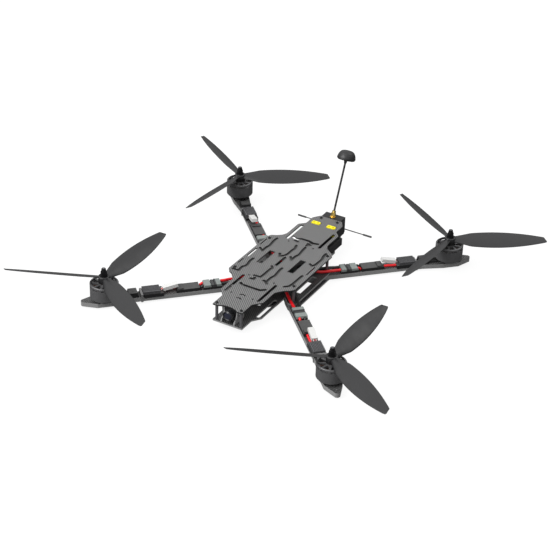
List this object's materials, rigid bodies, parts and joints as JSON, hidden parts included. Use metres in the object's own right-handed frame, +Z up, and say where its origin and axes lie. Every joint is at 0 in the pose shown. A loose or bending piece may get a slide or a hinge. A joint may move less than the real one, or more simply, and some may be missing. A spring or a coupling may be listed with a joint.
{
  "type": "quadcopter drone",
  "caption": "Long-range quadcopter with a flat carbon plate frame, diagonal arms, outrunner motors with three-bladed propellers, a tilting nose camera and tail antennas.",
  "frame": {"origin": "centre of the bottom plate's underside, the face that the aircraft rests on", "axes": "+X towards the nose, +Y to the left side, +Z up along the motor shafts"},
  "size_m": [0.6092, 0.7212, 0.1589],
  "materials": {
    "carbon_plate": "woven carbon fibre laminate, satin, with paler cut edges",
    "anodised_motor": "dark grey anodised, satin",
    "magnet_steel": "nickel plated",
    "bright_steel": "turned and polished",
    "propeller_nylon": "glass-filled nylon, matte",
    "black_fastener": "black oxide",
    "standoff_aluminium": "dark anodised",
    "camera_shell": "black, satin",
    "lens_glass": "black barrel with a coated front element",
    "circuit_board": "dark solder mask with small parts",
    "black_case": "black, finned",
    "yellow_nylon": "yellow nylon",
    "gold_plate": "gold plated",
    "printed_rubber": "printed flexible plastic with fine layers",
    "antenna_plastic": "black moulded plastic",
    "grey_nylon": "dark grey-green nylon",
    "heat_shrink": "shrunk sleeve, satin",
    "white_nylon": "white nylon",
    "heat_sink": "grey anodised, fine ribs",
    "strap_band": "grey band",
    "red_silicone": "red silicone insulation",
    "pale_silicone": "thin signal wire insulation in white, red and pink",
    "black_silicone": "black silicone insulation",
    "stator_iron": "stacked laminations",
    "copper_wire": "enamelled copper winding"
  },
  "bodies": {
    "frame": {"bottom_plate": "carbon_plate", "mid_plate": "carbon_plate", "top_plate": "carbon_plate", "arm_front_left": "carbon_plate", "arm_front_right": "carbon_plate", "arm_rear_left": "carbon_plate", "arm_rear_right": "carbon_plate", "standoffs": "standoff_aluminium", "plate_screws": "black_fastener", "arm_bolts": "black_fastener", "camera_brackets": "carbon_plate", "flight_controller": "circuit_board", "power_board": "circuit_board", "stack_posts": "standoff_aluminium", "video_transmitter": "black_case", "radio_receiver": "circuit_board", "battery_sockets": "yellow_nylon", "socket_contacts": "gold_plate", "antenna_mount": "printed_rubber", "antenna_connector": "gold_plate", "antenna_stem": "antenna_plastic", "antenna_cap": "antenna_plastic", "receiver_antenna": "antenna_plastic", "arm_connectors": "grey_nylon", "speed_controllers": "heat_shrink", "signal_plugs": "white_nylon", "heat_sinks": "heat_sink", "arm_straps": "strap_band", "wire_glands": "heat_shrink", "signal_wires": "pale_silicone", "power_leads_red": "red_silicone", "power_leads_black": "black_silicone", "motor_leads": "black_silicone", "motor_bases": "anodised_motor", "stator_cores": "stator_iron", "stator_windings": "copper_wire", "motor_bearings": "bright_steel"},
    "camera": {"camera_body": "camera_shell", "camera_lens": "lens_glass", "camera_screws": "bright_steel"},
    "rotor_front_left": {"bell_front_left": "anodised_motor", "magnets_front_left": "magnet_steel", "shaft_front_left": "bright_steel", "propeller_front_left": "propeller_nylon", "nut_front_left": "black_fastener"},
    "rotor_front_right": {"bell_front_right": "anodised_motor", "magnets_front_right": "magnet_steel", "shaft_front_right": "bright_steel", "propeller_front_right": "propeller_nylon", "nut_front_right": "black_fastener"},
    "rotor_rear_left": {"bell_rear_left": "anodised_motor", "magnets_rear_left": "magnet_steel", "shaft_rear_left": "bright_steel", "propeller_rear_left": "propeller_nylon", "nut_rear_left": "black_fastener"},
    "rotor_rear_right": {"bell_rear_right": "anodised_motor", "magnets_rear_right": "magnet_steel", "shaft_rear_right": "bright_steel", "propeller_rear_right": "propeller_nylon", "nut_rear_right": "black_fastener"}
  },
  "joints": [
    {"name": "spin_front_left", "type": "hinge", "parent": "frame", "child": "rotor_front_left", "pos_m": [0.21213, 0.21213, 0.03], "axis": [0, 0, 1], "continuous": true},
    {"name": "spin_front_right", "type": "hinge", "parent": "frame", "child": "rotor_front_right", "pos_m": [0.21213, -0.21213, 0.03], "axis": [0, 0, 1], "continuous": true},
    {"name": "spin_rear_left", "type": "hinge", "parent": "frame", "child": "rotor_rear_left", "pos_m": [-0.21213, 0.21213, 0.03], "axis": [0, 0, 1], "continuous": true},
    {"name": "spin_rear_right", "type": "hinge", "parent": "frame", "child": "rotor_rear_right", "pos_m": [-0.21213, -0.21213, 0.03], "axis": [0, 0, 1], "continuous": true},
    {"name": "camera_tilt", "type": "hinge", "parent": "frame", "child": "camera", "pos_m": [0.156, 0, 0.0275], "axis": [0, 1, 0], "range_deg": [-15, 10]}
  ]
}
